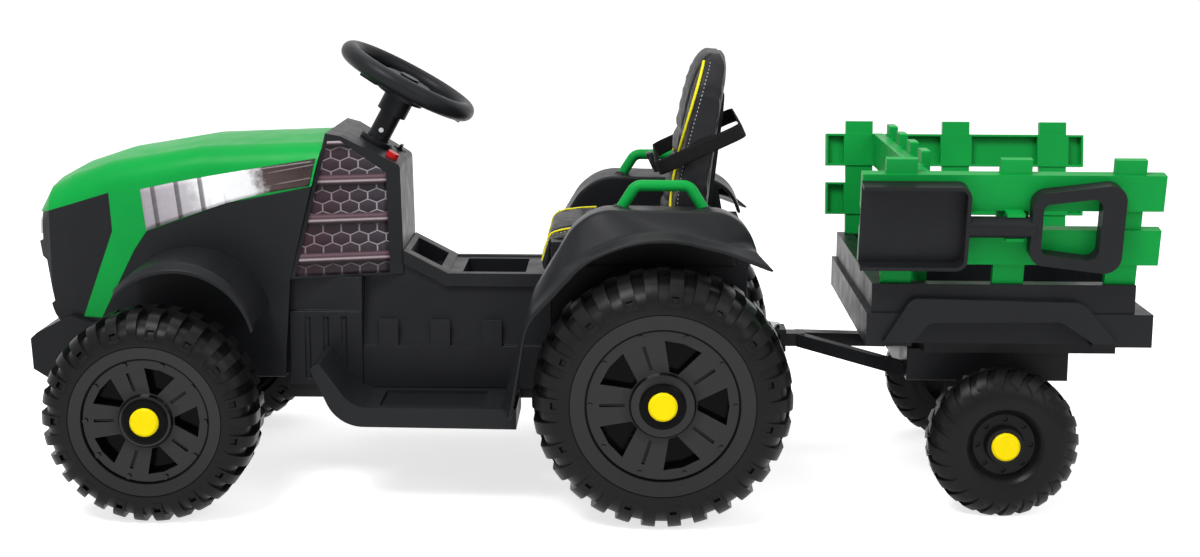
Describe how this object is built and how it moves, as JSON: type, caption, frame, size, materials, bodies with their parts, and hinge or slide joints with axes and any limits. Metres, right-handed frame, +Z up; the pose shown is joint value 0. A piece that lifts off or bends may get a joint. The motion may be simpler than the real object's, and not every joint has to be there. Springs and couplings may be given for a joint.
{
  "type": "ride-on toy tractor with trailer",
  "caption": "Ride-on toy tractor with steered front wheels, seat and footboards, pulling a hitched slatted trailer that carries a clip-on toy shovel.",
  "frame": {"origin": "on the floor, below the middle of the bounding box", "axes": "+X towards the rear (trailer end), -Y the left side with the shovel, +Z up"},
  "size_m": [1.4099, 0.587, 0.5731],
  "materials": {
    "green_plastic": "moulded green plastic, semi-gloss",
    "black_plastic": "fine-grained charcoal plastic",
    "lamp_lens": "pale lens plastic",
    "red_plastic": "glossy red plastic",
    "steel": "zinc-plated steel",
    "seat_cover": "grained black leatherette with yellow piping",
    "belt_webbing": "black woven webbing",
    "battery_case": "plain battery case",
    "tyre_black": "moulded black tyre plastic",
    "rim_black": "glossy black plastic",
    "yellow_plastic": "glossy yellow plastic"
  },
  "bodies": {
    "tractor": {"hood": "green_plastic", "nose_grille": "black_plastic", "front_body": "black_plastic", "headlights": "lamp_lens", "front_bumper": "black_plastic", "front_fenders": "black_plastic", "dash_tower": "black_plastic", "column_bush": "black_plastic", "centre_tunnel": "black_plastic", "footboard_left": "black_plastic", "footboard_right": "black_plastic", "rear_body": "black_plastic", "hitch_pin": "steel", "charging_socket": "black_plastic", "grab_handles": "green_plastic", "rear_fender_left": "black_plastic", "rear_fender_right": "black_plastic", "seat_pan": "black_plastic", "seat_backrest": "seat_cover", "seat_cushion": "seat_cover", "seat_belt": "belt_webbing", "battery": "battery_case", "control_box": "black_plastic", "gearboxes": "black_plastic", "rear_axle": "steel", "front_axle_beam": "steel"},
    "steering": {"steering_wheel": "black_plastic", "column_tube": "black_plastic", "steering_shaft": "steel"},
    "horn": {"horn_button": "black_plastic"},
    "starter": {"start_button": "red_plastic"},
    "rocker": {"direction_rocker": "black_plastic"},
    "pedal": {"throttle_pedal": "black_plastic"},
    "left_knuckle": {"knuckle_left": "steel"},
    "right_knuckle": {"knuckle_right": "steel"},
    "tie": {"tie_rod": "steel"},
    "front_left_wheel": {"front_tyre_left": "tyre_black", "front_rim_left": "rim_black", "front_cap_left": "yellow_plastic"},
    "front_right_wheel": {"front_tyre_right": "tyre_black", "front_rim_right": "rim_black", "front_cap_right": "yellow_plastic"},
    "rear_left_wheel": {"rear_tyre_left": "tyre_black", "rear_rim_left": "rim_black", "rear_cap_left": "yellow_plastic"},
    "rear_right_wheel": {"rear_tyre_right": "tyre_black", "rear_rim_right": "rim_black", "rear_cap_right": "yellow_plastic"},
    "trailer": {"trailer_tub": "black_plastic", "trailer_chassis": "black_plastic", "drawbar": "black_plastic", "fence_left": "green_plastic", "fence_right": "green_plastic", "fence_front": "green_plastic", "trailer_axle": "steel"},
    "trailer_left_wheel": {"trailer_wheel_left": "tyre_black", "trailer_cap_left": "yellow_plastic"},
    "trailer_right_wheel": {"trailer_wheel_right": "tyre_black", "trailer_cap_right": "yellow_plastic"},
    "toy_shovel": {"shovel": "black_plastic"}
  },
  "joints": [
    {"name": "steering_turn", "type": "hinge", "parent": "tractor", "child": "steering", "pos_m": [-0.2288, 0, 0.521], "axis": [0.4772, 0, 0.8788], "range_deg": [-35, 35]},
    {"name": "left_knuckle_turn", "type": "hinge", "parent": "tractor", "child": "left_knuckle", "pos_m": [-0.5208, -0.155, 0.131], "axis": [0, 0, 1], "range_deg": [-21, 21]},
    {"name": "right_knuckle_turn", "type": "hinge", "parent": "tractor", "child": "right_knuckle", "pos_m": [-0.5208, 0.155, 0.131], "axis": [0, 0, 1], "range_deg": [-21, 21]},
    {"name": "tie_slide", "type": "slide", "parent": "tractor", "child": "tie", "axis": [0, -1, 0], "range_m": [-0.0167, 0.0167]},
    {"name": "front_left_spin", "type": "hinge", "parent": "left_knuckle", "child": "front_left_wheel", "pos_m": [-0.5208, -0.2285, 0.131], "axis": [0, 1, 0], "continuous": true},
    {"name": "front_right_spin", "type": "hinge", "parent": "right_knuckle", "child": "front_right_wheel", "pos_m": [-0.5208, 0.2285, 0.131], "axis": [0, 1, 0], "continuous": true},
    {"name": "rear_left_spin", "type": "hinge", "parent": "tractor", "child": "rear_left_wheel", "pos_m": [0.1032, -0.228, 0.158], "axis": [0, 1, 0], "continuous": true},
    {"name": "rear_right_spin", "type": "hinge", "parent": "tractor", "child": "rear_right_wheel", "pos_m": [0.1032, 0.228, 0.158], "axis": [0, 1, 0], "continuous": true},
    {"name": "hitch_swing", "type": "hinge", "parent": "tractor", "child": "trailer", "pos_m": [0.2532, 0, 0.181], "axis": [0, 0, 1], "range_deg": [-18, 18]},
    {"name": "trailer_left_spin", "type": "hinge", "parent": "trailer", "child": "trailer_left_wheel", "pos_m": [0.5272, -0.19, 0.093], "axis": [0, 1, 0], "continuous": true},
    {"name": "trailer_right_spin", "type": "hinge", "parent": "trailer", "child": "trailer_right_wheel", "pos_m": [0.5272, 0.19, 0.093], "axis": [0, 1, 0], "continuous": true},
    {"name": "pedal_press", "type": "hinge", "parent": "tractor", "child": "pedal", "pos_m": [-0.1968, 0.144, 0.14], "axis": [0, -1, 0], "range_deg": [0, 12], "stiffness_Nm_per_rad": 1, "springref_deg": -5.73},
    {"name": "starter_press", "type": "slide", "parent": "tractor", "child": "starter", "axis": [-0.4772, 0, -0.8788], "range_m": [0, 0.0025], "stiffness_N_per_m": 600, "springref_m": -0.001},
    {"name": "horn_press", "type": "slide", "parent": "steering", "child": "horn", "axis": [-0.4772, 0, -0.8788], "range_m": [0, 0.002], "stiffness_N_per_m": 600, "springref_m": -0.001},
    {"name": "rocker_tip", "type": "hinge", "parent": "tractor", "child": "rocker", "pos_m": [-0.24877, 0.045, 0.42135], "axis": [0, 1, 0], "range_deg": [-12, 12]},
    {"name": "shovel_draw", "type": "slide", "parent": "trailer", "child": "toy_shovel", "axis": [0, -0.9848, -0.1736], "range_m": [0, 0.12]}
  ],
  "couplings": [
    {"joint": "left_knuckle_turn", "follows": "steering_turn", "ratio": 0.6},
    {"joint": "right_knuckle_turn", "follows": "steering_turn", "ratio": 0.6},
    {"joint": "tie_slide", "follows": "steering_turn", "m_per_rad": 0.0272}
  ]
}
